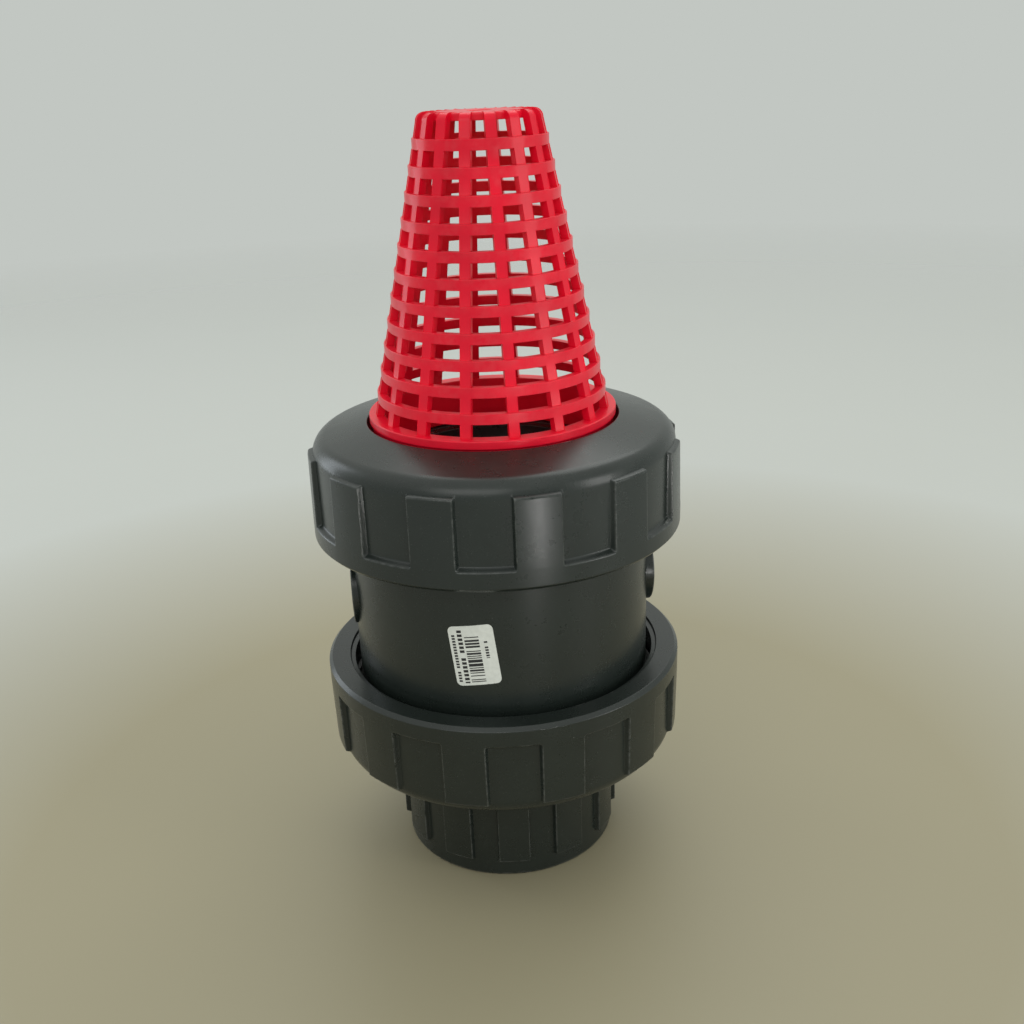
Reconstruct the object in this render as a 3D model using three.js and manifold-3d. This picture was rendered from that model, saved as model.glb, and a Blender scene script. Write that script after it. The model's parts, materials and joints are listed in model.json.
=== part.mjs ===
// A 3-inch plastic foot valve, standing on its pipe end with the strainer on top.
// Millimetres, +Z up, origin at the centre of the pipe end's bottom face, front towards -Y.
// In use the valve hangs the other way up: water enters through the strainer, pushes the
// poppet away from the seat ring against its spring and leaves through the threaded end.

import * as THREE from 'three';
import { mergeVertices } from 'three/addons/utils/BufferGeometryUtils.js';
import Module from 'manifold-3d';

const wasm = await Module();
wasm.setup();

// ---------- driving dimensions ----------

const GAP = 0.3; // left between pieces that touch
const ROUND = 36; // sides of a large turned piece
const FINE = 24; // sides of a small turned piece

// end connector with a G3 female pipe thread
const PIPE_MINOR_R = 42.46;
const PIPE_THREAD_DEPTH = 38;
const PIPE_STOP_R = 40;
const CONNECTOR_R = 55.2;
const CONNECTOR_RIB_R = 57.6;
const CONNECTOR_RIB_START = 9.5;
const CONNECTOR_RIB_END = 63;
const CONNECTOR_RIB_ANGLE = 16.5;
const CONNECTOR_RIB_PHASE = 0.9;

// union nuts: both are the same part, measured from the open end
const NUT_R = 90;
const NUT_HEIGHT = 54.4;
const NUT_EDGE = 1.8; // bevel round the open end
const NUT_BAND = 10.4; // height of the plain band at the open end
const NUT_RIB_TOP = 42.4;
const NUT_RIB_TOP_R = 89.4;
const NUT_PANEL_R = 87.35; // floor of the panels between the ribs
const NUT_PANEL_ANGLE = 16.2;
const NUT_WALL_R = 87.2; // wall above the ribs, rounded over into the cone
const NUT_FILLET = 9;
const NUT_FILLET_Z = 40.9;
const NUT_CONE_SLOPE = 13.2;
const NUT_MOUTH_R = 79;
const NUT_THREAD_R = 76.4;
const NUT_SHOULDER = 43;
const NUT_NECK_R = 60.1;
const RIB_COUNT = 12;
const LOWER_NUT_OPEN_Z = 108.4;
const UPPER_NUT_OPEN_Z = 175.5;
const LOWER_NUT_PHASE = -16.6;
const UPPER_NUT_PHASE = 11.2;

// clamped flanges, one in each nut
const FLANGE_R = 70.5;
const FLANGE_THICKNESS = 6.2;
const CONNECTOR_TOP = LOWER_NUT_OPEN_Z - NUT_SHOULDER - GAP + FLANGE_THICKNESS + 2 * GAP;
const STRAINER_FLANGE_TOP = UPPER_NUT_OPEN_Z + NUT_SHOULDER - GAP;
const STRAINER_FLANGE_BOTTOM = STRAINER_FLANGE_TOP - FLANGE_THICKNESS;

// seat ring between the strainer's flange and the body
const SEAT_FLANGE_TOP = STRAINER_FLANGE_BOTTOM - GAP;
const SEAT_FLANGE_BOTTOM = SEAT_FLANGE_TOP - 4;
const SEAT_BORE_R = 44;
const SEAT_SPIGOT_R = 65.3;
const SEAT_LIP_Z = 195.7;
const SEAT_LIP_HEIGHT = 1.8;

// valve body
const BODY_BOTTOM = CONNECTOR_TOP + GAP;
const BODY_TOP = SEAT_FLANGE_BOTTOM - GAP;
const BODY_R = 73.8;
const BODY_THREAD_R = 75.4;
const BODY_THREAD_LENGTH = 28;
const BODY_BORE_R = 66;
const BODY_LEDGE_R = 60;
const BODY_LEDGE_Z = 81;
const BADGE_R = 18.9;
const BADGE_Z = 145.3;
const BADGE_TURN = 5;
const RIGHT_BADGE_FACE = 75.7;
const LEFT_BADGE_FACE = 74.6;

// face grooves and their rings
const RING_WIRE_R = 1.3;
const RING_GROOVE_WIDTH = 4;
const RING_GROOVE_DEPTH = 3.2;
const BODY_RING_R = 70;
const CONNECTOR_RING_R = 66;

// closing parts
const STEM_R = 5;
const STEM_TIP_R = 4;
const STEM_BOTTOM = 65;
const STEM_SHOULDER = 169.2;
const STEM_TOP = 210.5;
const POPPET_R = 52;
const POPPET_TOP = 191.1;
const POPPET_THICKNESS = 5.5;
const POPPET_HUB_R = 18;
const POPPET_POCKET_R = 7; // pocket for the ring that seals the stem
const POPPET_POCKET_DEPTH = 3;
const SEAL_THICKNESS = 4;
const SEAL_R = 51;
const RETAINER_R = 40;
const RETAINER_THICKNESS = 3;
const WASHER_THICKNESS = 1.6;
const RETAINER_WASHER_R = 9;
const RETAINER_NUT_FLATS = 13;
const LOCK_WASHER_R = 10;
const LOCK_NUT_FLATS = 17;
const LOCK_NUT_BOTTOM = 71;
const NUT_THICKNESS = 6.5; // of both hexagon nuts
const SPRING_MEAN_R = 14;
const SPRING_WIRE_R = 1.1;
const SPRING_TURNS = 7;
const SPRING_TOP = 177.2;

// guide
const SPIDER_BOTTOM = BODY_LEDGE_Z + GAP;
const SPIDER_THICKNESS = 6;
const SPIDER_SHOULDER = SPIDER_BOTTOM + 8;
const HUB_TOP = SPIDER_BOTTOM + 22;
const HUB_R = 16;
const HUB_NECK_R = 9.4; // stands inside the spring
const HUB_BORE_R = 7.3;
const BUSH_BORE_R = STEM_R + 0.4;
const ARM_COUNT = 4;
const ARM_WIDTH = 6;

// strainer
const BRIM_R = 58.8;
const BRIM_TOP = 233.5;
const BRIM_THICKNESS = 4;
const SKIRT_R = 57.5;
const HOOP_COUNT = 11;
const HOOP_HEIGHT = 4.7;
const HOOP_THICKNESS = 3.6;
const TOP_HOOP_R = 30.2;
const TOP_HOOP_Z = 355.3;
const HOOP_PITCH = 11.11;
const HOOP_STEP = 2.385;
const BAR_COUNT = 16;
const BAR_WIDTH = 4.9;
const BAR_DEPTH = 2.8;
const BAR_RECESS = 0.4;
const HOOP_CORNER = 1.01; // a hoop runs straight from bar to bar, so its corners stand out a little
const STRAINER_TOP = 365.4;
const STRAINER_CROWN = 3.5; // radius that rounds the bars' ends over the top disc's edge
const TOP_DISC_R = 24.2;
const TOP_DISC_THICKNESS = 3.3;
const STRAINER_INNER_R = 50;
const STRAINER_PHASE = -1.7;

// paper label
const LABEL_WIDTH = 21;
const LABEL_LENGTH = 30.2;
const LABEL_THICKNESS = 0.4;
const LABEL_Z = 137.2;
const LABEL_AZIMUTH = -10.45;
const LABEL_TILT = 6.8;

// ---------- materials ----------

const finish = (color, roughness, metalness) =>
  new THREE.MeshStandardMaterial({ color, roughness, metalness, flatShading: true });

const greyPlastic = () => finish(0x4b5350, 0.4, 0);
const redPlastic = () => finish(0xd8152b, 0.35, 0);
const blackRubber = () => finish(0x17181a, 0.7, 0);
const paleNylon = () => finish(0xe4e0d2, 0.5, 0);
const paper = () => finish(0xf1f1ee, 0.8, 0);
const stainless = () => finish(0xb9bcc0, 0.3, 1);

// ---------- geometry helpers ----------

const rad = THREE.MathUtils.degToRad;

// angle about +Z of a direction given by its azimuth from the front (-Y) towards +X
const fromFront = (azimuth) => rad(azimuth - 90);

function toSolid(geometry) {
  const bare = geometry.clone();
  bare.deleteAttribute('normal');
  bare.deleteAttribute('uv');
  const merged = mergeVertices(bare, 1e-4);
  const points = merged.getAttribute('position').array;
  const index = merged.index.array;
  const corners = [];
  let volume = 0;
  const [a, b, c] = [new THREE.Vector3(), new THREE.Vector3(), new THREE.Vector3()];
  for (let i = 0; i < index.length; i += 3) {
    const [i0, i1, i2] = [index[i], index[i + 1], index[i + 2]];
    if (i0 === i1 || i1 === i2 || i2 === i0) continue;
    corners.push(i0, i1, i2);
    a.fromArray(points, 3 * i0);
    b.fromArray(points, 3 * i1);
    c.fromArray(points, 3 * i2);
    volume += a.dot(b.cross(c));
  }
  const triVerts = new Uint32Array(corners);
  if (volume < 0) triVerts.reverse();
  const mesh = new wasm.Mesh({ numProp: 3, vertProperties: new Float32Array(points), triVerts });
  return new wasm.Manifold(mesh);
}

function toGeometry(solid) {
  const mesh = solid.getMesh();
  const geometry = new THREE.BufferGeometry();
  geometry.setAttribute('position', new THREE.BufferAttribute(new Float32Array(mesh.vertProperties), 3));
  geometry.setIndex(new THREE.BufferAttribute(new Uint32Array(mesh.triVerts), 1));
  geometry.computeVertexNormals();
  return geometry;
}

// an outline of [radius, z] pairs turned about +Z; it starts and ends on the axis or closes on itself
function turned(outline, sides = ROUND) {
  const points = outline.map(([r, z]) => new THREE.Vector2(r, z));
  const onAxis = outline[0][0] === 0 && outline.at(-1)[0] === 0;
  if (!onAxis) points.push(points[0].clone());
  const geometry = new THREE.LatheGeometry(points, sides);
  geometry.rotateX(Math.PI / 2);
  return toSolid(geometry);
}

const tube = (inner, outer, z0, z1, sides = ROUND) =>
  turned([[inner, z0], [outer, z0], [outer, z1], [inner, z1]], sides);

// points of an arc in the [radius, z] plane, angles in degrees from the radius direction
function arc(r, z, size, from, to, steps) {
  const points = [];
  for (let i = 0; i <= steps; i += 1) {
    const angle = rad(from + ((to - from) * i) / steps);
    points.push([r + size * Math.cos(angle), z + size * Math.sin(angle)]);
  }
  return points;
}

// a block that fills an angle between two radii, centred on an angle about +Z
function sector(inner, outer, z0, z1, width, centre, steps = 3) {
  const half = rad(width) / 2;
  const shape = new THREE.Shape();
  shape.absarc(0, 0, inner, centre - half, centre + half, false);
  shape.absarc(0, 0, outer, centre + half, centre - half, true);
  const geometry = new THREE.ExtrudeGeometry(shape, {
    depth: z1 - z0,
    curveSegments: steps,
    bevelEnabled: false,
  });
  geometry.translate(0, 0, z0);
  return toSolid(geometry);
}

// an outline in the [radius, z] plane with a thickness, standing at an angle about +Z
function fin(outline, thickness, angle) {
  const shape = new THREE.Shape(outline.map(([r, z]) => new THREE.Vector2(r, z)));
  const geometry = new THREE.ExtrudeGeometry(shape, { depth: thickness, bevelEnabled: false });
  geometry.translate(0, 0, -thickness / 2);
  geometry.rotateX(Math.PI / 2);
  geometry.rotateZ(angle);
  return toSolid(geometry);
}

function rubberRing(meanR, z, wireR = RING_WIRE_R, sides = ROUND) {
  return turned(arc(meanR, z, wireR, 0, 300, 5), sides);
}

function hexNut(acrossFlats, boreR, height) {
  const outside = new THREE.CylinderGeometry(
    acrossFlats / Math.sqrt(3), acrossFlats / Math.sqrt(3), height, 6);
  outside.rotateX(Math.PI / 2);
  outside.translate(0, 0, height / 2);
  const bore = new THREE.CylinderGeometry(boreR, boreR, height + 2, FINE);
  bore.rotateX(Math.PI / 2);
  bore.translate(0, 0, height / 2);
  return toSolid(outside).subtract(toSolid(bore));
}

function piece(name, solid, material, z = 0) {
  const mesh = new THREE.Mesh(toGeometry(solid), material);
  mesh.name = name;
  mesh.position.z = z;
  return mesh;
}

// ---------- end connector ----------

function endConnector() {
  const neck = CONNECTOR_TOP - FLANGE_THICKNESS;
  const grooveIn = CONNECTOR_RING_R - RING_GROOVE_WIDTH / 2;
  const grooveOut = CONNECTOR_RING_R + RING_GROOVE_WIDTH / 2;
  let solid = turned([
    [PIPE_MINOR_R + 2, 0],
    [CONNECTOR_R - 1, 0],
    [CONNECTOR_R, 1],
    [CONNECTOR_R, neck],
    [FLANGE_R, neck],
    [FLANGE_R, CONNECTOR_TOP],
    [grooveOut, CONNECTOR_TOP],
    [grooveOut, CONNECTOR_TOP - RING_GROOVE_DEPTH],
    [grooveIn, CONNECTOR_TOP - RING_GROOVE_DEPTH],
    [grooveIn, CONNECTOR_TOP],
    [BODY_LEDGE_R - 2, CONNECTOR_TOP],
    [PIPE_STOP_R + 12, neck - 4],
    [PIPE_STOP_R, PIPE_THREAD_DEPTH + 6],
    [PIPE_STOP_R, PIPE_THREAD_DEPTH],
    [PIPE_MINOR_R, PIPE_THREAD_DEPTH],
    [PIPE_MINOR_R, 2],
  ]);
  for (let i = 0; i < RIB_COUNT; i += 1) {
    const angle = fromFront(CONNECTOR_RIB_PHASE + (360 / RIB_COUNT) * i);
    solid = solid.add(sector(
      CONNECTOR_R - 2, CONNECTOR_RIB_R, CONNECTOR_RIB_START, CONNECTOR_RIB_END, CONNECTOR_RIB_ANGLE, angle));
  }
  return solid;
}

// ---------- union nut, open end at z = 0 ----------

function unionNut() {
  let solid = turned([
    [NUT_MOUTH_R, 0],
    [NUT_R - NUT_EDGE, 0],
    [NUT_R, NUT_EDGE],
    [NUT_R, NUT_BAND],
    [NUT_RIB_TOP_R, NUT_RIB_TOP - 1],
    [NUT_RIB_TOP_R - 1, NUT_RIB_TOP],
    ...arc(NUT_WALL_R - NUT_FILLET, NUT_FILLET_Z, NUT_FILLET, 10, 90 - NUT_CONE_SLOPE, 4),
    [NUT_NECK_R, NUT_HEIGHT],
    [NUT_NECK_R, NUT_SHOULDER],
    [NUT_THREAD_R, NUT_SHOULDER],
    [NUT_THREAD_R, 3],
    [NUT_MOUTH_R, 1.5],
  ]);
  for (let i = 0; i < RIB_COUNT; i += 1) {
    const angle = rad((360 / RIB_COUNT) * (i + 0.5));
    solid = solid.subtract(
      sector(NUT_PANEL_R, NUT_R + 10, NUT_BAND, NUT_RIB_TOP + 5, NUT_PANEL_ANGLE, angle));
  }
  return solid;
}

// ---------- valve body ----------

function valveBody() {
  const grooveIn = BODY_RING_R - RING_GROOVE_WIDTH / 2;
  const grooveOut = BODY_RING_R + RING_GROOVE_WIDTH / 2;
  const lowerThreadEnd = BODY_BOTTOM + BODY_THREAD_LENGTH;
  const upperThreadEnd = BODY_TOP - BODY_THREAD_LENGTH;
  const relief = BODY_THREAD_R - BODY_R;
  let solid = turned([
    [BODY_LEDGE_R, BODY_BOTTOM],
    [BODY_THREAD_R - 1.5, BODY_BOTTOM],
    [BODY_THREAD_R, BODY_BOTTOM + 1.5],
    [BODY_THREAD_R, lowerThreadEnd],
    [BODY_R, lowerThreadEnd + relief],
    [BODY_R, upperThreadEnd - relief],
    [BODY_THREAD_R, upperThreadEnd],
    [BODY_THREAD_R, BODY_TOP - 1.5],
    [BODY_THREAD_R - 1.5, BODY_TOP],
    [grooveOut, BODY_TOP],
    [grooveOut, BODY_TOP - RING_GROOVE_DEPTH],
    [grooveIn, BODY_TOP - RING_GROOVE_DEPTH],
    [grooveIn, BODY_TOP],
    [BODY_BORE_R, BODY_TOP],
    [BODY_BORE_R, BODY_LEDGE_Z],
    [BODY_LEDGE_R, BODY_LEDGE_Z],
  ]);
  const badgeRoot = BODY_BORE_R + 4;
  for (const [face, side] of [[RIGHT_BADGE_FACE, 0], [LEFT_BADGE_FACE, 180]]) {
    const badge = new THREE.CylinderGeometry(BADGE_R, BADGE_R, face - badgeRoot, FINE);
    badge.rotateZ(Math.PI / 2);
    badge.translate((face + badgeRoot) / 2, 0, BADGE_Z);
    badge.rotateZ(rad(BADGE_TURN + side));
    solid = solid.add(toSolid(badge));
  }
  return solid;
}

// ---------- seat ring ----------

function seatRing() {
  return turned([
    [SEAT_BORE_R, SEAT_FLANGE_TOP],
    [SEAT_BORE_R, SEAT_LIP_Z + SEAT_LIP_HEIGHT],
    [SEAT_BORE_R + 2, SEAT_LIP_Z],
    [SEAT_BORE_R + 4, SEAT_LIP_Z],
    [SEAT_BORE_R + 6, SEAT_LIP_Z + SEAT_LIP_HEIGHT],
    [SEAT_SPIGOT_R, SEAT_LIP_Z + SEAT_LIP_HEIGHT],
    [SEAT_SPIGOT_R, SEAT_FLANGE_BOTTOM],
    [FLANGE_R, SEAT_FLANGE_BOTTOM],
    [FLANGE_R, SEAT_FLANGE_TOP],
  ]);
}

// ---------- closing parts ----------

function poppet() {
  const bore = STEM_TIP_R + GAP;
  return turned([
    [bore, STEM_SHOULDER + GAP],
    [11, STEM_SHOULDER + GAP],
    [11, SPRING_TOP + GAP],
    [POPPET_HUB_R, SPRING_TOP + GAP],
    [POPPET_HUB_R + 4, POPPET_TOP - POPPET_THICKNESS - 3.5],
    [POPPET_R, POPPET_TOP - POPPET_THICKNESS],
    [POPPET_R, POPPET_TOP],
    [POPPET_POCKET_R, POPPET_TOP],
    [POPPET_POCKET_R, POPPET_TOP - POPPET_POCKET_DEPTH],
    [bore, POPPET_TOP - POPPET_POCKET_DEPTH],
  ]);
}

function poppetStem() {
  return turned([
    [0, STEM_BOTTOM],
    [STEM_R - 1, STEM_BOTTOM],
    [STEM_R, STEM_BOTTOM + 1],
    [STEM_R, STEM_SHOULDER],
    [STEM_TIP_R, STEM_SHOULDER],
    [STEM_TIP_R, STEM_TOP - 1],
    [STEM_TIP_R - 1, STEM_TOP],
    [0, STEM_TOP],
  ], FINE);
}

function sealRetainer(bottom) {
  return turned([
    [STEM_TIP_R + GAP, bottom],
    [RETAINER_R - 1, bottom],
    [RETAINER_R, bottom + 1],
    [RETAINER_R - 2, bottom + RETAINER_THICKNESS],
    [STEM_TIP_R + GAP, bottom + RETAINER_THICKNESS],
  ]);
}

// ---------- guide and spring ----------

function guideSpider() {
  let solid = tube(BODY_LEDGE_R + 0.5, BODY_BORE_R - 0.6, SPIDER_BOTTOM, SPIDER_BOTTOM + SPIDER_THICKNESS);
  for (let i = 0; i < ARM_COUNT; i += 1) {
    const arm = new THREE.BoxGeometry(BODY_LEDGE_R - 8, ARM_WIDTH, SPIDER_THICKNESS);
    arm.translate((BODY_LEDGE_R + 14) / 2, 0, SPIDER_BOTTOM + SPIDER_THICKNESS / 2);
    arm.rotateZ(rad((360 / ARM_COUNT) * i + 45));
    solid = solid.add(toSolid(arm));
  }
  return solid.add(turned([
    [HUB_BORE_R, SPIDER_BOTTOM],
    [HUB_R, SPIDER_BOTTOM],
    [HUB_R, SPIDER_SHOULDER],
    [HUB_NECK_R, SPIDER_SHOULDER],
    [HUB_NECK_R, HUB_TOP],
    [HUB_BORE_R, HUB_TOP],
  ], FINE));
}

function guideBush() {
  return turned([
    [BUSH_BORE_R, SPIDER_BOTTOM],
    [HUB_BORE_R - GAP, SPIDER_BOTTOM],
    [HUB_BORE_R - GAP, HUB_TOP + GAP],
    [HUB_NECK_R, HUB_TOP + GAP],
    [HUB_NECK_R, HUB_TOP + 2],
    [BUSH_BORE_R, HUB_TOP + 2],
  ], FINE);
}

class Helix extends THREE.Curve {
  constructor(radius, bottom, top, turns) {
    super();
    Object.assign(this, { radius, bottom, top, turns });
  }

  getPoint(t, target = new THREE.Vector3()) {
    const angle = 2 * Math.PI * this.turns * t;
    const z = this.bottom + (this.top - this.bottom) * t;
    return target.set(this.radius * Math.cos(angle), this.radius * Math.sin(angle), z);
  }
}

function closingSpring() {
  const bottom = SPIDER_SHOULDER + GAP + SPRING_WIRE_R;
  const helix = new Helix(SPRING_MEAN_R, bottom, SPRING_TOP - SPRING_WIRE_R, SPRING_TURNS);
  const wire = new THREE.Shape();
  wire.absarc(0, 0, SPRING_WIRE_R, 0, 2 * Math.PI, false);
  return toSolid(new THREE.ExtrudeGeometry(wire, {
    steps: 12 * SPRING_TURNS,
    curveSegments: 3,
    extrudePath: helix,
  }));
}

// ---------- strainer ----------

// outside radius of the bars, which lie on one cone just inside each hoop's lower edge
const barR = (z) =>
  TOP_HOOP_R - BAR_RECESS + ((TOP_HOOP_Z - HOOP_HEIGHT - z) * HOOP_STEP) / HOOP_PITCH;

function strainerBasket() {
  const shoulder = STRAINER_TOP - STRAINER_CROWN;
  const crown = arc(barR(shoulder) - STRAINER_CROWN, shoulder, STRAINER_CROWN, 0, 90, 3);
  const discBottom = STRAINER_TOP - TOP_DISC_THICKNESS;
  let solid = turned([
    [STRAINER_INNER_R, STRAINER_FLANGE_BOTTOM],
    [FLANGE_R, STRAINER_FLANGE_BOTTOM],
    [FLANGE_R, STRAINER_FLANGE_TOP],
    [SKIRT_R, STRAINER_FLANGE_TOP],
    [SKIRT_R, BRIM_TOP - BRIM_THICKNESS],
    [BRIM_R, BRIM_TOP - BRIM_THICKNESS + 0.5],
    [BRIM_R, BRIM_TOP],
    [STRAINER_INNER_R + 1.6, BRIM_TOP],
    [STRAINER_INNER_R, STRAINER_FLANGE_TOP],
  ]);
  for (let i = 0; i < HOOP_COUNT; i += 1) {
    const top = TOP_HOOP_Z - HOOP_PITCH * i;
    const outer = (TOP_HOOP_R + HOOP_STEP * i) * HOOP_CORNER;
    const hoop = tube(outer - HOOP_THICKNESS, outer, top - HOOP_HEIGHT, top, BAR_COUNT);
    solid = solid.add(hoop.rotate([0, 0, 180 / BAR_COUNT]));
  }
  const bar = [
    [barR(BRIM_TOP - 1) - BAR_DEPTH, BRIM_TOP - 1],
    [barR(BRIM_TOP - 1), BRIM_TOP - 1],
    ...crown,
    [TOP_DISC_R - 4, STRAINER_TOP],
    [TOP_DISC_R - 4, discBottom + 1],
    [barR(discBottom) - BAR_DEPTH, discBottom + 1],
  ];
  for (let i = 0; i < BAR_COUNT; i += 1) {
    solid = solid.add(fin(bar, BAR_WIDTH, fromFront((360 / BAR_COUNT) * (i + 0.5))));
  }
  const disc = turned([
    [0, discBottom],
    [TOP_DISC_R, discBottom],
    [TOP_DISC_R, STRAINER_TOP - 0.6],
    [TOP_DISC_R - 0.6, STRAINER_TOP],
    [0, STRAINER_TOP],
  ], 2 * BAR_COUNT);
  return solid.add(disc).rotate([0, 0, STRAINER_PHASE]);
}

// ---------- paper label, bent round the body ----------

function label() {
  const sheet = new THREE.BoxGeometry(LABEL_WIDTH, LABEL_LENGTH, LABEL_THICKNESS, 8, 3, 1);
  sheet.rotateZ(rad(LABEL_TILT));
  const corner = sheet.getAttribute('position');
  for (let i = 0; i < corner.count; i += 1) {
    const r = BODY_R + GAP + LABEL_THICKNESS / 2 + corner.getZ(i);
    const angle = fromFront(LABEL_AZIMUTH) + corner.getX(i) / BODY_R;
    corner.setXYZ(i, r * Math.cos(angle), r * Math.sin(angle), LABEL_Z + corner.getY(i));
  }
  return toSolid(sheet);
}

// ---------- assembly ----------

const valve = new THREE.Group();

valve.add(piece('end_connector', endConnector(), greyPlastic()));
valve.add(piece('connector_o_ring',
  rubberRing(CONNECTOR_RING_R, CONNECTOR_TOP - RING_GROOVE_DEPTH / 2), blackRubber()));

const nut = unionNut();
const lowerNut = piece('lower_union_nut', nut, greyPlastic(), LOWER_NUT_OPEN_Z);
lowerNut.rotation.set(Math.PI, 0, rad(LOWER_NUT_PHASE));
valve.add(lowerNut);
const upperNut = piece('upper_union_nut', nut, greyPlastic(), UPPER_NUT_OPEN_Z);
upperNut.rotation.z = rad(UPPER_NUT_PHASE);
valve.add(upperNut);

valve.add(piece('valve_body', valveBody(), greyPlastic()));
valve.add(piece('body_o_ring', rubberRing(BODY_RING_R, BODY_TOP - RING_GROOVE_DEPTH / 2), blackRubber()));
valve.add(piece('barcode_label', label(), paper()));
valve.add(piece('seat_ring', seatRing(), greyPlastic()));
valve.add(piece('strainer_basket', strainerBasket(), redPlastic()));

valve.add(piece('guide_spider', guideSpider(), greyPlastic()));
valve.add(piece('guide_bush', guideBush(), paleNylon()));
valve.add(piece('closing_spring', closingSpring(), stainless()));

const SEAL_BOTTOM = POPPET_TOP + GAP;
const RETAINER_BOTTOM = SEAL_BOTTOM + SEAL_THICKNESS + GAP;
const WASHER_BOTTOM = RETAINER_BOTTOM + RETAINER_THICKNESS + GAP;
const RETAINER_NUT_BOTTOM = WASHER_BOTTOM + WASHER_THICKNESS + GAP;
const STEM_WASHER_BOTTOM = LOCK_NUT_BOTTOM + NUT_THICKNESS + GAP;

valve.add(piece('poppet', poppet(), greyPlastic()));
valve.add(piece('poppet_stem', poppetStem(), stainless()));
valve.add(piece('stem_o_ring',
  rubberRing(5.65, POPPET_TOP - POPPET_POCKET_DEPTH / 2, 1.05, 18), blackRubber()));
valve.add(piece('poppet_seal',
  tube(STEM_TIP_R + GAP, SEAL_R, SEAL_BOTTOM, SEAL_BOTTOM + SEAL_THICKNESS), blackRubber()));
valve.add(piece('seal_retainer', sealRetainer(RETAINER_BOTTOM), stainless()));
valve.add(piece('retainer_washer',
  tube(STEM_TIP_R + GAP, RETAINER_WASHER_R, WASHER_BOTTOM, WASHER_BOTTOM + WASHER_THICKNESS, FINE),
  stainless()));
valve.add(piece('retainer_nut',
  hexNut(RETAINER_NUT_FLATS, STEM_TIP_R + GAP, NUT_THICKNESS), stainless(), RETAINER_NUT_BOTTOM));
valve.add(piece('stem_washer',
  tube(STEM_R + GAP, LOCK_WASHER_R, STEM_WASHER_BOTTOM, STEM_WASHER_BOTTOM + WASHER_THICKNESS, FINE),
  stainless()));
valve.add(piece('stem_lock_nut',
  hexNut(LOCK_NUT_FLATS, STEM_R + GAP, NUT_THICKNESS), stainless(), LOCK_NUT_BOTTOM));

export default valve;
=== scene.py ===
"""The looks of the foot valve: detailed meshes, plastics, rubber, steel and a label, round the CAD frame."""

import math

import bmesh
import bpy
import numpy as np
from mathutils import Matrix, Vector
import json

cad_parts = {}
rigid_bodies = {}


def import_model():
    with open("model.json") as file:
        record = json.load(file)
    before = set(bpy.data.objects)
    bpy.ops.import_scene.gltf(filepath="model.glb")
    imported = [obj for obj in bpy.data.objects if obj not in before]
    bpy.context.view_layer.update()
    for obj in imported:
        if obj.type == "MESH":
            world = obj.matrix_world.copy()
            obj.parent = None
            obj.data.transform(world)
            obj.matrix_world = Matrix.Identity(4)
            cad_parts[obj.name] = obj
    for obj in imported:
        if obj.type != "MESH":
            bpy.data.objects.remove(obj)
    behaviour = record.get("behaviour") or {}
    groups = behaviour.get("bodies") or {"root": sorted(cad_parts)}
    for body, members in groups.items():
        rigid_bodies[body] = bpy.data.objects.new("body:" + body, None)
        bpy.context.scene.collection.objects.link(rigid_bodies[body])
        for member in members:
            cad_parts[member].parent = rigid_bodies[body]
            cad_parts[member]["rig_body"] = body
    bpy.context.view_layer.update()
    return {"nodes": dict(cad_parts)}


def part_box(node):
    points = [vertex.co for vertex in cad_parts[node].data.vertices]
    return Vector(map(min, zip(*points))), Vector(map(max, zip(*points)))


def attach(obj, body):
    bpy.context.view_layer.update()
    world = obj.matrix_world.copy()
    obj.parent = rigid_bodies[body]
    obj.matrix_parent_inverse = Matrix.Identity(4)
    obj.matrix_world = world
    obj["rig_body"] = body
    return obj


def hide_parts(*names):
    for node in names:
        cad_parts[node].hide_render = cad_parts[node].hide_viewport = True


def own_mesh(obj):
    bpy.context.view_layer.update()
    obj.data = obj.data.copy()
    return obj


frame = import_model()

MM = 0.001

# guide spider and its bush, in millimetres
HUB_BORE_R = 7.3
HUB_R = 16.0
HUB_NECK_R = 9.4
SPIDER_INNER_R = 60.5
SPIDER_OUTER_R = 65.3
SPIDER_THICKNESS = 6
BUSH_BORE_R = 5.4
BUSH_R = 7.0
BUSH_FLANGE_R = 9.2
BUSH_FLANGE = 1.7


# ---------- places and sizes, in millimetres, from the frame ----------

def low(node):
    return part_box(node)[0] / MM


def high(node):
    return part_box(node)[1] / MM


NUT_OPEN_LOW = high("lower_union_nut").z
NUT_OPEN_HIGH = low("upper_union_nut").z
NUT_HEIGHT = high("upper_union_nut").z - NUT_OPEN_HIGH
NUT_R = 90.0
NUT_EDGE = 1.8
NUT_BAND = 10.4
NUT_RIB_TOP = 42.3
NUT_RIB_TOP_R = 89.4
NUT_WALL_R = 87.2
NUT_FILLET = 9.0
NUT_FILLET_Z = 40.9
NUT_CONE_SLOPE = 13.2
NUT_MOUTH_R = 79.0
NUT_NECK_R = 60.1
NUT_SHOULDER = 43.0
NUT_THREAD_CREST = 76.5
NUT_THREAD_ROOT = 78.2
RIB_COUNT = 12
LOWER_NUT_PHASE = 16.6
UPPER_NUT_PHASE = 11.2

CONNECTOR_TOP = high("end_connector").z
FLANGE_R = high("end_connector").x
CONNECTOR_R = 55.2
CONNECTOR_RIB_R = 57.6
CONNECTOR_RIB_FROM = 9.5
CONNECTOR_RIB_TO = 63.0
CONNECTOR_RIB_PHASE = 0.9
PIPE_CREST_R = 42.5
PIPE_ROOT_R = 43.9
PIPE_STOP_R = 40.0
PIPE_STOP_Z = 38.0
PIPE_PITCH = 25.4 / 11

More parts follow.
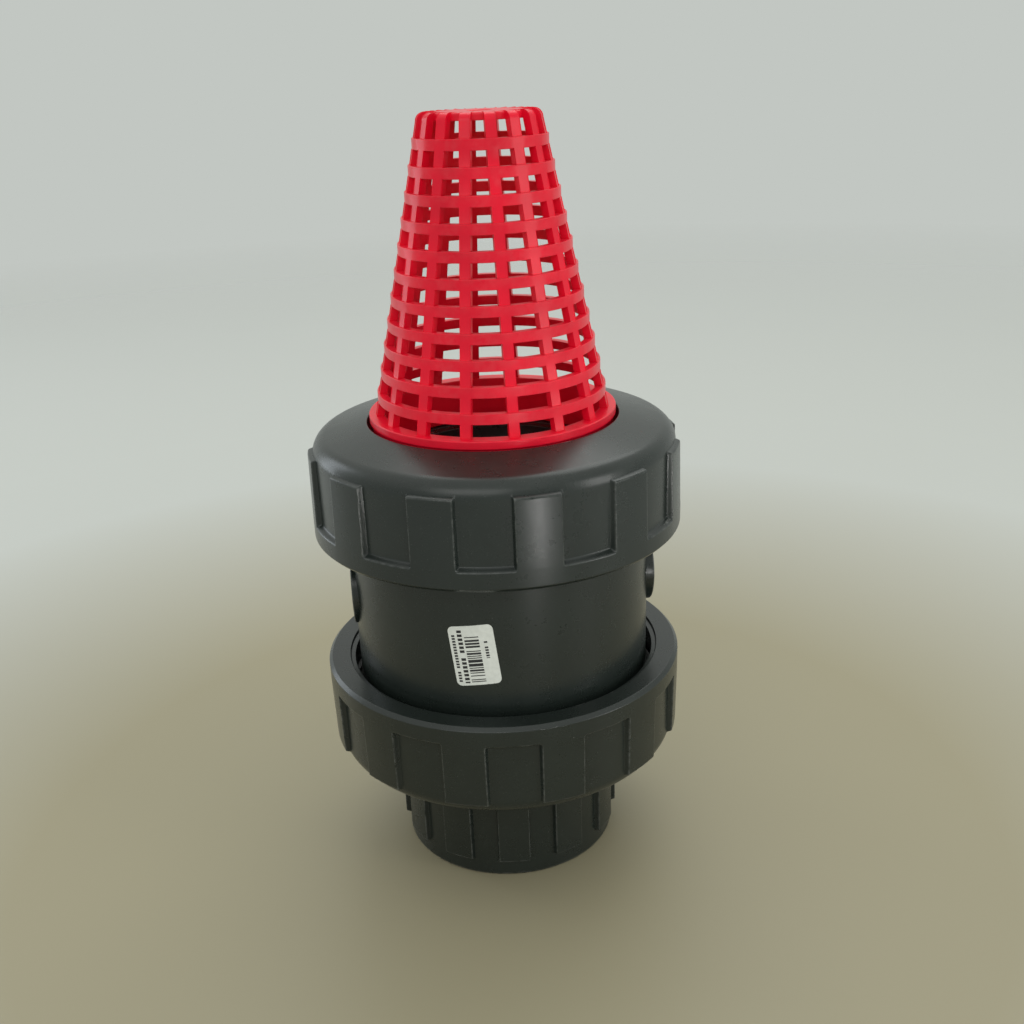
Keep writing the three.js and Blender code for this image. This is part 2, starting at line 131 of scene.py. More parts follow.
BODY_BOTTOM = low("valve_body").z
BODY_TOP = high("valve_body").z
BODY_R = 73.8
BODY_THREAD_R = 75.3
BODY_BORE_R = 66.0
BODY_LEDGE_R = 60.0
BODY_LEDGE_Z = low("guide_spider").z - 0.3
THREAD_BAND = 28.0
UNION_PITCH = 5.0
BADGE_R = 18.9
BADGE_Z = 145.3
BADGE_TURN = 5.0
RIGHT_BADGE_FACE = 75.7
LEFT_BADGE_FACE = 74.6

SEAT_TOP = high("seat_ring").z
SEAT_LIP = low("seat_ring").z
SEAT_BORE_R = 44.0

STRAINER_BOTTOM = low("strainer_basket").z
STRAINER_TOP = high("strainer_basket").z
STRAINER_FLANGE = 6.2
BRIM_R = 58.8
BRIM_TOP = 233.5
HOOP_COUNT = 11
HOOP_HEIGHT = 4.7
TOP_HOOP_R = 30.2
TOP_HOOP_Z = 355.3
HOOP_PITCH = 11.11
HOOP_STEP = 2.385
BAR_COUNT = 16
BAR_WIDTH = 4.9
BAR_DEPTH = 3.0
STRAINER_PHASE = -1.7
CROWN_FILLET = 3.5
TOP_DISC_R = 24.2
TOP_DISC_THICKNESS = 3.3

LABEL_WIDTH = 21.0
LABEL_LENGTH = 30.2
LABEL_Z = 137.2
LABEL_AZIMUTH = -10.45
LABEL_TILT = 6.8

FLOOR_R = 2.6  # metres

# the camera, in millimetres and degrees
CAMERA_BACK = 534.1
CAMERA_UP = 382.2
CAMERA_PITCH = 22.90
CAMERA_YAW = 0.69
CAMERA_ROLL = -2.37
CAMERA_FOCAL = 1148.2 / 1024
CAMERA_SHIFT = 40 / 1024


# ---------- mesh helpers ----------

def rounded(corners, steps=4, closed=True):
    """An outline in the (radius, z) plane from corners (r, z, fillet); a fillet of 0 keeps it sharp."""
    out = []
    n = len(corners)
    for i, (r, z, fillet) in enumerate(corners):
        here = np.array([r, z], float)
        inner = closed or 0 < i < n - 1
        if fillet <= 0 or not inner:
            out.append(here)
            continue
        before = np.array(corners[i - 1][:2], float) - here
        after = np.array(corners[(i + 1) % n][:2], float) - here
        a = before / np.linalg.norm(before)
        b = after / np.linalg.norm(after)
        half = math.acos(np.clip(a @ b, -1, 1)) / 2
        reach = fillet / math.tan(half)
        middle = here + (a + b) / np.linalg.norm(a + b) * fillet / math.sin(half)
        start = here + a * reach - middle
        turn = math.atan2(
            start[0] * (here + b * reach - middle)[1]
            - start[1] * (here + b * reach - middle)[0],
                          start @ (here + b * reach - middle))
        support = min(0.4 * fillet, 0.4)
        out.append(here + a * (reach + support))
        for k in range(steps + 1):
            c, s = math.cos(turn * k / steps), math.sin(turn * k / steps)
            out.append(middle + np.array([c * start[0] - s * start[1], s * start[0] + c * start[1]]))
        out.append(here + b * (reach + support))
    return np.array(out)


def densified(outline, step, wanted, closed=True):
    """The outline with points added at most one step apart where wanted(r, z) is true."""
    out = []
    n = len(outline)
    for i in range(n if closed else n - 1):
        p, q = outline[i], outline[(i + 1) % n]
        out.append(p)
        length = np.linalg.norm(q - p)
        if length > step and wanted(*((p + q) / 2)):
            pieces = math.ceil(length / step)
            out.extend(p + (q - p) * k / pieces for k in range(1, pieces))
    if not closed:
        out.append(outline[-1])
    return np.array(out)


def signed_volume(verts, faces):
    total = 0.0
    for f in faces:
        a = verts[f[0]]
        for k in range(1, len(f) - 1):
            total += float(np.dot(a, np.cross(verts[f[k]], verts[f[k + 1]])))
    return total


def outward(verts, faces):
    verts = np.asarray(verts, float)
    if signed_volume(verts, faces) < 0:
        faces = [tuple(reversed(f)) for f in faces]
    return verts, faces


def revolved(outline, sides=192, angles=None, shape=None, closed=True):
    """A closed shell turned about +Z. shape(r, z, angle) may move the grid's points in or out."""
    outline = np.asarray(outline, float)
    angles = np.linspace(0, 2 * math.pi, sides, endpoint=False) if angles is None else np.asarray(angles)
    r = np.repeat(outline[:, :1], len(angles), axis=1)
    z = np.repeat(outline[:, 1:], len(angles), axis=1)
    theta = np.repeat(angles[None, :], len(outline), axis=0)
    if shape is not None:
        r, z = shape(r, z, theta)
    verts = np.stack([r * np.cos(theta), r * np.sin(theta), z], -1).reshape(-1, 3)
    m, n = r.shape
    faces = []
    first, last = 0, m - 1
    if not closed:
        first, last = 1, m - 2
    for i in range(first, m if closed else last):
        for j in range(n):
            k = (j + 1) % n
            i2 = (i + 1) % m
            faces.append((i * n + j, i * n + k, i2 * n + k, i2 * n + j))
    if not closed:
        for j in range(n):
            k = (j + 1) % n
            faces.append((0, 1 * n + k, 1 * n + j))
            faces.append(((m - 1) * n, (m - 2) * n + j, (m - 2) * n + k))
    return outward(verts, faces)


def thread(root, crest, z0, z1, pitch, wide, narrow, steps=90):
    """A right-hand helical ridge of trapezoid section that fades in and out, as one closed shell."""
    turns = (z1 - z0) / pitch
    count = int(turns * steps)
    t = np.linspace(0, 1, count + 1)
    grow = np.clip(np.minimum(t, 1 - t) * turns * 5, 0.02, 1)
    sunk = root - np.sign(crest - root) * 0.4
    verts = []
    for u, g in zip(t, grow):
        a = 2 * math.pi * turns * u
        z = z0 + (z1 - z0) * u
        top = sunk + (crest - sunk) * g
        for radius, dz in ((sunk, -wide / 2), (top, -narrow / 2), (top, narrow / 2), (sunk, wide / 2)):
            verts.append((radius * math.cos(a), radius * math.sin(a), z + dz))
    faces = [(4 * i + a, 4 * i + (a + 1) % 4, 4 * i + 4 + (a + 1) % 4, 4 * i + 4 + a)
             for i in range(count) for a in range(4)]
    faces.append((0, 1, 2, 3))
    faces.append(tuple(4 * count + a for a in (3, 2, 1, 0)))
    return outward(verts, faces)


def block(size, centre, turn=0.0):
    """A box shell: size and centre in x, y, z, then turned about +Z by turn degrees."""
    sx, sy, sz = (s / 2 for s in size)
    signs = [
        (-1, -1, -1), (1, -1, -1), (1, 1, -1), (-1, 1, -1),
        (-1, -1, 1), (1, -1, 1), (1, 1, 1), (-1, 1, 1),
    ]
    verts = np.array([(centre[0] + a * sx, centre[1] + b * sy, centre[2] + c * sz) for a, b, c in signs])
    faces = [(0, 3, 2, 1), (4, 5, 6, 7), (0, 1, 5, 4), (1, 2, 6, 5), (2, 3, 7, 6), (3, 0, 4, 7)]
    return moved((verts, faces), Matrix.Rotation(math.radians(turn), 4, "Z"))


def moved(shell, matrix):
    verts, faces = shell
    m = np.array(matrix)
    return np.asarray(verts) @ m[:3, :3].T + m[:3, 3], faces


def smoothstep(x):
    x = np.clip(x, 0, 1)
    return x * x * (3 - 2 * x)


def piece(name, shells, material, node, bevel=0.0, sharp=32.0):
    """One object from closed shells in millimetres; it stands for a CAD node and rides on its body."""
    verts, faces, start = [], [], 0
    for shell_verts, shell_faces in shells:
        verts.append(np.asarray(shell_verts) * MM)
        faces.extend(tuple(start + v for v in f) for f in shell_faces)
        start += len(shell_verts)
    mesh = bpy.data.meshes.new(name)
    mesh.from_pydata(np.concatenate(verts).tolist(), [], faces)
    mesh.validate()
    mesh.materials.append(material)
    mesh.polygons.foreach_set("use_smooth", [True] * len(mesh.polygons))
    mesh.set_sharp_from_angle(angle=math.radians(sharp))
    obj = bpy.data.objects.new(name, mesh)
    bpy.context.scene.collection.objects.link(obj)
    if bevel > 0:
        rim = obj.modifiers.new("rim", "BEVEL")
        rim.width = bevel * MM
        rim.segments = 2
        rim.limit_method = "ANGLE"
        rim.angle_limit = math.radians(35)
        rim.harden_normals = True
        rim.use_clamp_overlap = True
    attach(obj, frame["nodes"][node]["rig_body"])
    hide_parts(node)
    return obj


# ---------- materials ----------

class Nodes:
    """A small helper that adds and links shader nodes."""

    def __init__(self, name):
        self.material = bpy.data.materials.new(name)
        self.material.use_nodes = True
        self.tree = self.material.node_tree
        self.shader = self.tree.nodes["Principled BSDF"]
        self.place = self.tree.nodes.new("ShaderNodeTexCoord").outputs["Object"]

    def add(self, kind, **values):
        node = self.tree.nodes.new(kind)
        for key, value in values.items():
            if key in node.inputs:
                self.put(node.inputs[key], value)
            else:
                setattr(node, key, value)
        return node

    def put(self, socket, value):
        if isinstance(value, bpy.types.NodeSocket):
            self.tree.links.new(value, socket)
        else:
            socket.default_value = value

    def noise(self, scale, detail=3.0, roughness=0.5, place=None):
        node = self.add("ShaderNodeTexNoise", Scale=scale, Detail=detail, Roughness=roughness)
        self.put(node.inputs["Vector"], place or self.place)
        return node.outputs["Fac"]

    def ramp(self, value, stops):
        node = self.add("ShaderNodeValToRGB", Fac=value)
        while len(node.color_ramp.elements) < len(stops):
            node.color_ramp.elements.new(0.5)
        for element, (position, colour) in zip(node.color_ramp.elements, stops):
            element.position = position
            element.color = (*colour, 1.0)
        return node.outputs["Color"]

    def span(self, value, low_out, high_out, low_in=0.0, high_in=1.0):
        node = self.add("ShaderNodeMapRange")
        self.put(node.inputs["Value"], value)
        node.inputs["From Min"].default_value = low_in
        node.inputs["From Max"].default_value = high_in
        node.inputs["To Min"].default_value = low_out
        node.inputs["To Max"].default_value = high_out
        return node.outputs["Result"]

    def bump(self, height, distance, strength=1.0, under=None):
        node = self.add("ShaderNodeBump", Height=height, Distance=distance, Strength=strength)
        if under is not None:
            self.put(node.inputs["Normal"], under)
        return node.outputs["Normal"]

    def stretched(self, scale):
        node = self.add("ShaderNodeMapping")
        self.put(node.inputs["Vector"], self.place)
        node.inputs["Scale"].default_value = scale
        return node.outputs["Vector"]

    def surface(self, **values):
        for key, value in values.items():
            self.put(self.shader.inputs[key.replace("_", " ")], value)
        return self.material


def shade(colour, factor):
    return tuple(min(1.0, c * factor) for c in colour)


def moulded_plastic(name, colour, roughness, sheen, specks=0.0, edge_highlight_level=0.0):
    """Moulded plastic: cloudy colour, a fine skin, hairline scratches, pale lines painted on convex edges as
    highlight, and a little dust.
    """
    n = Nodes(name)
    flow = n.noise(38.0, 4.0, 0.6)
    tint = n.ramp(flow, [(0.3, shade(colour, 0.88)), (0.5, colour), (0.72, shade(colour, 1.12))])
    dust = n.span(n.noise(2600.0, 1.0), 0.0, specks, 0.74, 0.78)
    # Pointiness picks out convex edges. Pale lines are painted there as highlight, broken up by noise below.
    edge = n.span(n.add("ShaderNodeNewGeometry").outputs["Pointiness"], 0.0, 1.0, 0.51, 0.56)
    painted_edge_highlight = n.add("ShaderNodeMath", operation="MULTIPLY")
    n.put(painted_edge_highlight.inputs[0], edge)
    n.put(painted_edge_highlight.inputs[1], n.span(n.noise(260.0, 3.0, 0.7), 0.0, edge_highlight_level, 0.35, 0.6))
    # Pale marks: real dust specks together with the painted edge highlight, both mixed towards the pale grey
    # below.
    pale = n.add("ShaderNodeMath", operation="MAXIMUM")
    n.put(pale.inputs[0], dust)
    n.put(pale.inputs[1], painted_edge_highlight.outputs[0])
    mix = n.add("ShaderNodeMix", data_type="RGBA")
    n.put(mix.inputs["Factor"], pale.outputs[0])
    n.put(mix.inputs[6], tint)
    mix.inputs[7].default_value = (0.55, 0.56, 0.54, 1.0)
    scratches = n.noise(90.0, 6.0, 0.7, n.stretched((1.0, 1.0, 14.0)))
    gloss = n.span(n.noise(120.0, 5.0, 0.65), roughness - 0.02, roughness + 0.025, 0.3, 0.7)
    skin = n.bump(n.noise(900.0, 2.0), 0.00003, 0.5)
    worn = n.bump(scratches, 0.00004, 0.35, skin)
    return n.surface(
        Base_Color=mix.outputs[2], Roughness=gloss, Normal=worn, IOR=1.5, Specular_IOR_Level=sheen)


def make_rubber():
    n = Nodes("black_rubber")
    tint = n.ramp(n.noise(160.0, 4.0), [(0.35, (0.010, 0.010, 0.011)), (0.7, (0.024, 0.024, 0.025))])
    return n.surface(
        Base_Color=tint, Roughness=n.span(n.noise(700.0), 0.5, 0.72),
        Normal=n.bump(n.noise(1800.0), 0.00004, 0.6))


def make_nylon():
    n = Nodes("pale_nylon")
    tint = n.ramp(n.noise(120.0, 3.0), [(0.3, (0.70, 0.67, 0.56)), (0.7, (0.82, 0.80, 0.70))])
    return n.surface(
        Base_Color=tint, Roughness=n.span(n.noise(400.0), 0.42, 0.55),
        Normal=n.bump(n.noise(900.0), 0.00003, 0.4))


def make_steel():
    n = Nodes("stainless")
    turning = n.noise(300.0, 4.0, 0.6, n.stretched((0.6, 0.6, 22.0)))
    tint = n.ramp(turning, [(0.3, (0.47, 0.47, 0.48)), (0.7, (0.62, 0.62, 0.63))])
    return n.surface(
        Base_Color=tint, Metallic=1.0, Roughness=n.span(turning, 0.22, 0.4),
        Normal=n.bump(turning, 0.00002, 0.5))


def make_label():
    """White paper with a bar field and columns of plain dashes beside it, from the label's own UVs."""
    n = Nodes("label_paper")
    uv = n.add("ShaderNodeTexCoord").outputs["UV"]
    split = n.add("ShaderNodeSeparateXYZ", Vector=uv)
    u, v = split.outputs["X"], split.outputs["Y"]

    def maths(operation, a, b=0.0):
        node = n.add("ShaderNodeMath", operation=operation)
        n.put(node.inputs[0], a)
        n.put(node.inputs[1], b)
        return node.outputs[0]

    def within(value, lo, hi):
        return maths("MULTIPLY", maths("GREATER_THAN", value, lo), maths("LESS_THAN", value, hi))

    def cells(value, count, seed):
        place = n.add("ShaderNodeCombineXYZ", X=maths("FLOOR", maths("MULTIPLY", value, count)), Y=seed)
        return n.add("ShaderNodeTexWhiteNoise", Vector=place.outputs[0]).outputs["Value"]

    def field(u0, u1, v0, v1, ink):
        return maths("MULTIPLY", maths("MULTIPLY", within(u, u0, u1), within(v, v0, v1)), ink)

    def dashes(count, seed):
        gap = maths("GREATER_THAN", maths("FRACT", maths("MULTIPLY", v, count)), 0.34)
        return maths("MULTIPLY", gap, maths("GREATER_THAN", cells(v, count, seed), 0.12))

    bars = field(0.34, 0.66, 0.05, 0.86, maths("GREATER_THAN", cells(v, 60.0, 1.0), 0.38))
    digits = field(0.195, 0.300, 0.04, 0.94, dashes(15.0, 5.0))
    small = field(0.060, 0.135, 0.06, 0.92, dashes(21.0, 9.0))
    short = field(0.760, 0.835, 0.44, 0.74, dashes(22.0, 13.0))
    ink = maths("MAXIMUM", maths("MAXIMUM", bars, digits), maths("MAXIMUM", small, short))
    mix = n.add("ShaderNodeMix", data_type="RGBA")
    n.put(mix.inputs["Factor"], ink)
    n.put(mix.inputs[6], n.ramp(n.noise(500.0, 3.0), [(0.3, (0.66, 0.68, 0.64)), (0.7, (0.74, 0.76, 0.72))]))
    mix.inputs[7].default_value = (0.02, 0.02, 0.022, 1.0)
    return n.surface(
        Base_Color=mix.outputs[2], Roughness=n.span(n.noise(300.0), 0.5, 0.62),
        Normal=n.bump(n.noise(1500.0), 0.00002, 0.4))


# The last number of each call sets how strong the painted edge highlight is.
GREY = moulded_plastic("grey_plastic", (0.0128, 0.0178, 0.0156), 0.28, sheen=0.5, specks=0.2, edge_highlight_level=0.2)
RED = moulded_plastic("red_plastic", (0.80, 0.004, 0.027), 0.30, sheen=0.28, edge_highlight_level=0.05)
RUBBER = make_rubber()
NYLON = make_nylon()
STEEL = make_steel()
PAPER = make_label()


# ---------- ribbed grey plastic: nuts and pipe end ----------

def rib_angles(count, phase, rib_half, edge, inside=5, across=7):
    """Grid angles with many columns across each rib's edges."""
    period = 360 / count
    angles = []
    for i in range(count):
        centre = phase + i * period
        angles.extend(centre + np.linspace(-rib_half + edge, rib_half - edge, inside))
        angles.extend(centre + np.linspace(rib_half - edge * 0.7, rib_half + edge * 0.7, across))
        angles.extend(centre + np.linspace(rib_half + edge, period - rib_half - edge, 2 * inside))
        angles.extend(centre + period + np.linspace(-rib_half - edge * 0.7, -rib_half + edge * 0.7, across))
    return np.radians(np.sort(angles))


def rib_mask(theta, count, phase, rib_half, edge):
    """1 on a rib, 0 between ribs, with a smooth flank."""
    period = 360 / count
    off = np.abs((np.degrees(theta) - phase + period / 2) % period - period / 2)
    return 1 - smoothstep((off - rib_half + edge * 0.6) / (1.2 * edge))


def nut_wall(z):
    """Radius of the nut's plain wall at a height: upright, then rounded over towards the cone."""
    over = np.clip(z - NUT_FILLET_Z, 0, NUT_FILLET)
    return NUT_WALL_R - NUT_FILLET + np.sqrt(NUT_FILLET ** 2 - over ** 2)


def union_nut_shells():
    """The nut with its open end at z = 0: band, raised ribs on a rounded wall, cone, neck and thread."""
    rib_half, edge = 6.9, 0.75
    over = np.radians(np.linspace(13.0, 90 - NUT_CONE_SLOPE, 11))
    rounding = [(NUT_WALL_R - NUT_FILLET + NUT_FILLET * math.cos(a), NUT_FILLET_Z + NUT_FILLET * math.sin(a), 0)
                for a in over]
    outline = rounded([
        (NUT_MOUTH_R, 0.0, 0.4),
        (NUT_R - NUT_EDGE, 0.0, 0.6),
        (NUT_R, NUT_EDGE, 0.6),
        (NUT_R, NUT_BAND, 0.4),
        (NUT_RIB_TOP_R, NUT_RIB_TOP, 1.0),
        *rounding,
        (NUT_NECK_R, NUT_HEIGHT, 0.7),
        (NUT_NECK_R, NUT_SHOULDER, 0.4),
        (NUT_THREAD_ROOT, NUT_SHOULDER, 0.6),
        (NUT_THREAD_ROOT, 13.5, 0.6),
        (NUT_THREAD_CREST, 12.0, 0.4),
        (NUT_THREAD_CREST, 1.9, 0.4),
        (NUT_MOUTH_R - 0.2, 1.5, 0.3),
    ], steps=5)
    outline = densified(outline, 2.4, lambda r, z: r > 80)
    outline = densified(outline, 0.25, lambda r, z: r > 88 and abs(z - NUT_BAND) < 2.2)

    def shape(r, z, theta):
        rib = rib_mask(theta, RIB_COUNT, 0, rib_half, edge)
        panel = (1 - rib) * smoothstep((z - NUT_BAND + 1.1) / 2.2)
        depth = np.maximum(r - nut_wall(z), 0)
        return np.where(r > 80, r - depth * panel, r), z

    wall = revolved(outline, angles=rib_angles(RIB_COUNT, 0, rib_half, edge), shape=shape)
    ridge = thread(NUT_THREAD_ROOT, NUT_THREAD_CREST, 14.5, 40.5, UNION_PITCH, 3.2, 1.2)
    return [wall, ridge]


def build_nuts():
    shells = union_nut_shells()
    upper = Matrix.Translation((0, 0, NUT_OPEN_HIGH)) @ Matrix.Rotation(math.radians(UPPER_NUT_PHASE), 4, "Z")
    turned = Matrix.Rotation(math.radians(LOWER_NUT_PHASE), 4, "Z") @ Matrix.Rotation(math.pi, 4, "X")
    lower = Matrix.Translation((0, 0, NUT_OPEN_LOW)) @ turned
    piece("upper_nut_detail", [moved(s, upper) for s in shells], GREY, "upper_union_nut")
    piece("lower_nut_detail", [moved(s, lower) for s in shells], GREY, "lower_union_nut")


def build_connector():
    neck = CONNECTOR_TOP - STRAINER_FLANGE
    groove = (64.0, 68.0, CONNECTOR_TOP - 3.2)
    rib_half, edge = 8.25, 0.9
    outline = rounded([
        (PIPE_CREST_R + 1.8, 0.0, 0.3),
        (CONNECTOR_R, 0.0, 1.6),
        (CONNECTOR_R, neck, 0.6),
        (FLANGE_R, neck, 0.5),
        (FLANGE_R, CONNECTOR_TOP, 0.5),
        (groove[1], CONNECTOR_TOP, 0.2),
        (groove[1], groove[2], 0.3),
        (groove[0], groove[2], 0.3),
        (groove[0], CONNECTOR_TOP, 0.2),
        (BODY_LEDGE_R - 2, CONNECTOR_TOP, 1.5),
        (PIPE_STOP_R + 12, neck - 4, 6.0),
        (PIPE_STOP_R, PIPE_STOP_Z + 6, 5.0),
        (PIPE_STOP_R, PIPE_STOP_Z, 0.4),
        (PIPE_ROOT_R, PIPE_STOP_Z, 0.2),
        (PIPE_ROOT_R, 1.0, 0.2),
    ])
    outline = densified(outline, 3.0, lambda r, z: r > CONNECTOR_R - 1 and z < neck)
    outline = densified(outline, 0.3, lambda r, z: r > CONNECTOR_R - 1 and abs(z - CONNECTOR_RIB_FROM) < 1.8)

    def shape(r, z, theta):
        rib = rib_mask(theta, RIB_COUNT, CONNECTOR_RIB_PHASE, rib_half, edge)
        rise = smoothstep((z - CONNECTOR_RIB_FROM + 0.6) / 1.2) * smoothstep((CONNECTOR_RIB_TO - z) / 1.2)
        outside = (r > CONNECTOR_R - 0.3) & (r < CONNECTOR_R + 0.3)
        return np.where(outside, r + (CONNECTOR_RIB_R - CONNECTOR_R) * rib * rise, r), z

    angles = rib_angles(RIB_COUNT, CONNECTOR_RIB_PHASE, rib_half, edge)
    wall = revolved(outline, angles=angles, shape=shape)
    ridge = thread(PIPE_ROOT_R, PIPE_CREST_R, 2.2, PIPE_STOP_Z - 3, PIPE_PITCH, 1.9, 0.5)
    piece("end_connector_detail", [wall, ridge], GREY, "end_connector")


# ---------- body, badges, seat ----------

def badge_shell(face, side):
    """A round boss with a raised rim and a plain, slightly sunk face."""
    depth = face - BODY_BORE_R - 4
    outline = rounded([
        (0.0, -depth, 0),
        (BADGE_R, -depth, 0.3),
        (BADGE_R, 0.0, 0.6),
        (BADGE_R - 2.2, 0.0, 0.3),
        (BADGE_R - 2.6, -0.5, 0.3),
        (BADGE_R - 6.0, -0.5, 0.3),
        (BADGE_R - 6.4, -0.15, 0.3),
        (0.0, -0.15, 0),
    ], steps=3, closed=False)
    shell = revolved(outline, sides=96, closed=False)
    stand = Matrix.Rotation(math.radians(BADGE_TURN + side), 4, "Z") @ Matrix.Translation((face, 0, BADGE_Z))
    return moved(shell, stand @ Matrix.Rotation(math.pi / 2, 4, "Y"))


def build_body():
    low_end = BODY_BOTTOM + THREAD_BAND
    high_end = BODY_TOP - THREAD_BAND
    groove = (68.0, 72.0, BODY_TOP - 3.2)
    outline = rounded([
        (BODY_LEDGE_R, BODY_BOTTOM, 0.4),
        (BODY_R - 1.0, BODY_BOTTOM, 1.0),
        (BODY_R - 0.2, BODY_BOTTOM + 3, 1.0),
        (BODY_R - 0.2, low_end, 1.0),
        (BODY_R, low_end + 1.5, 1.0),
        (BODY_R, high_end - 1.5, 1.0),
        (BODY_R - 0.2, high_end, 1.0),
        (BODY_R - 0.2, BODY_TOP - 3, 1.0),
        (BODY_R - 1.0, BODY_TOP, 1.0),
        (groove[1], BODY_TOP, 0.2),
        (groove[1], groove[2], 0.3),
        (groove[0], groove[2], 0.3),
        (groove[0], BODY_TOP, 0.2),
        (BODY_BORE_R, BODY_TOP, 0.6),
        (BODY_BORE_R, BODY_LEDGE_Z, 0.8),
        (BODY_LEDGE_R, BODY_LEDGE_Z, 0.4),
    ])
    wall = revolved(outline, sides=256)
    ridges = [
        thread(BODY_R - 0.2, BODY_THREAD_R, BODY_BOTTOM + 3.5, low_end - 2.0, UNION_PITCH, 3.0, 1.3),
        thread(BODY_R - 0.2, BODY_THREAD_R, high_end + 2.0, BODY_TOP - 3.5, UNION_PITCH, 3.0, 1.3),
    ]
    shells = [wall, *ridges, badge_shell(RIGHT_BADGE_FACE, 0), badge_shell(LEFT_BADGE_FACE, 180)]
    piece("valve_body_detail", shells, GREY, "valve_body")


def build_seat():
    bottom = SEAT_TOP - 4
    outline = rounded([
        (SEAT_BORE_R, SEAT_TOP - 1.2, 0.5),
        (SEAT_BORE_R, SEAT_LIP + 1.8, 0.4),
        (SEAT_BORE_R + 2, SEAT_LIP, 0.5),
        (SEAT_BORE_R + 4, SEAT_LIP, 0.5),
        (SEAT_BORE_R + 6, SEAT_LIP + 1.8, 0.5),
        (65.3, SEAT_LIP + 1.8, 0.5),
        (65.3, bottom, 0.3),
        (FLANGE_R, bottom, 0.4),
        (FLANGE_R, SEAT_TOP, 0.4),
        (SEAT_BORE_R + 4.2, SEAT_TOP, 0.3),
        (SEAT_BORE_R + 3.8, SEAT_TOP - 0.6, 0.3),
        (SEAT_BORE_R + 1.2, SEAT_TOP - 0.6, 0.4),
    ])
    piece("seat_ring_detail", [revolved(outline, sides=192)], GREY, "seat_ring")


# ---------- strainer ----------

def bar_radius(z):
    """Outside radius of the bars at a height: a cone through every hoop's lower edge."""
    return TOP_HOOP_R + HOOP_STEP * (TOP_HOOP_Z - HOOP_HEIGHT - z) / HOOP_PITCH


def crown_arc(steps=7):
    """Points where a bar's end is rounded over the top disc's edge."""
    shoulder = STRAINER_TOP - CROWN_FILLET
    middle = bar_radius(shoulder) - CROWN_FILLET
    turns = np.linspace(0, math.pi / 2, steps)
    return [(middle + CROWN_FILLET * math.cos(a), shoulder + CROWN_FILLET * math.sin(a)) for a in turns]


def lattice_shell():
    """Hoops and bars as one closed shell: a stepped cone with a window between each bar and hoop."""
    step = HOOP_STEP / HOOP_PITCH * HOOP_HEIGHT
    levels = []  # each level: z, outer radius, bar's outer radius, inner radius
    for i in range(HOOP_COUNT - 1, -1, -1):
        top = TOP_HOOP_Z - HOOP_PITCH * i
        outer = TOP_HOOP_R + HOOP_STEP * i
        levels.append((top - HOOP_HEIGHT, outer, outer, outer - BAR_DEPTH))
        levels.append((top, outer, outer - step, outer - step - BAR_DEPTH))
    foot_z = BRIM_TOP - 1.0
    foot = bar_radius(foot_z)

    windows = 6
    period = 2 * math.pi / BAR_COUNT
    verts, faces, known = [], [], {}

    def angle(radius, bar, column):
        """Column 0 and 1 are a bar's two edges, and the others divide the window after it."""
        half = math.asin(BAR_WIDTH / 2 / radius)
        centre = math.radians(STRAINER_PHASE - 90) + period * (bar + 0.5)
        if column == 0:
            return centre - half
        return centre + half + (column - 1) / windows * (period - 2 * half)

    def point(radius, z, bar, column):
        if column > windows:
            bar, column = bar + 1, 0
        key = (round(radius, 4), round(z, 4), bar % BAR_COUNT, column)
        if key not in known:
            a = angle(radius, bar % BAR_COUNT, column)
            known[key] = len(verts)
            verts.append((radius * math.cos(a), radius * math.sin(a), z))
        return known[key]

    def strip(r0, z0, r1, z1, bar, columns):
        for c in columns:
            faces.append((
                point(r0, z0, bar, c), point(r0, z0, bar, c + 1),
                point(r1, z1, bar, c + 1), point(r1, z1, bar, c)))

    spans = list(range(1, windows + 1))
    bar_only = [0]
    for bar in range(BAR_COUNT):
        below = (foot_z, foot, foot - BAR_DEPTH)
        for k in range(0, len(levels), 2):
            z0, outer, _, inner0 = levels[k]
            z1, _, bar_outer, inner1 = levels[k + 1]
            strip(outer, z0, outer, z1, bar, bar_only + spans)
            strip(outer, z1, bar_outer, z1, bar, bar_only + spans)
            strip(bar_outer, z1, inner1, z1, bar, spans)
            strip(inner1, z1, inner0, z0, bar, bar_only + spans)
            strip(inner0, z0, outer, z0, bar, spans)
            strip(below[1], below[0], outer, z0, bar, bar_only)
            strip(inner0, z0, below[2], below[0], bar, bar_only)
            for c, flip in ((0, True), (1, False)):
                side = (point(below[1], below[0], bar, c), point(outer, z0, bar, c),
                        point(inner0, z0, bar, c), point(below[2], below[0], bar, c))
                faces.append(tuple(reversed(side)) if flip else side)
            below = (z1, bar_outer, inner1)
        lintel = STRAINER_TOP - TOP_DISC_THICKNESS + 0.8
        outer_path = [(below[1], below[0])] + crown_arc() + [(18.0, STRAINER_TOP - 0.3)]
        inner_path = [(below[2], below[0]), (bar_radius(lintel) - BAR_DEPTH, lintel), (18.0, lintel + 0.6)]
        for (r0, z0), (r1, z1) in zip(outer_path, outer_path[1:]):
            strip(r0, z0, r1, z1, bar, bar_only)
        for (r0, z0), (r1, z1) in zip(inner_path, inner_path[1:]):
            strip(r1, z1, r0, z0, bar, bar_only)
        strip(outer_path[-1][0], outer_path[-1][1], inner_path[-1][0], inner_path[-1][1], bar, bar_only)
        for c, flip in ((0, True), (1, False)):
            side = [point(r, z, bar, c) for r, z in outer_path] + [
                point(r, z, bar, c) for r, z in reversed(inner_path)]
            faces.append(tuple(reversed(side)) if flip else tuple(side))
        strip(foot - BAR_DEPTH, foot_z, foot, foot_z, bar, bar_only)
    return outward(np.array(verts), faces)


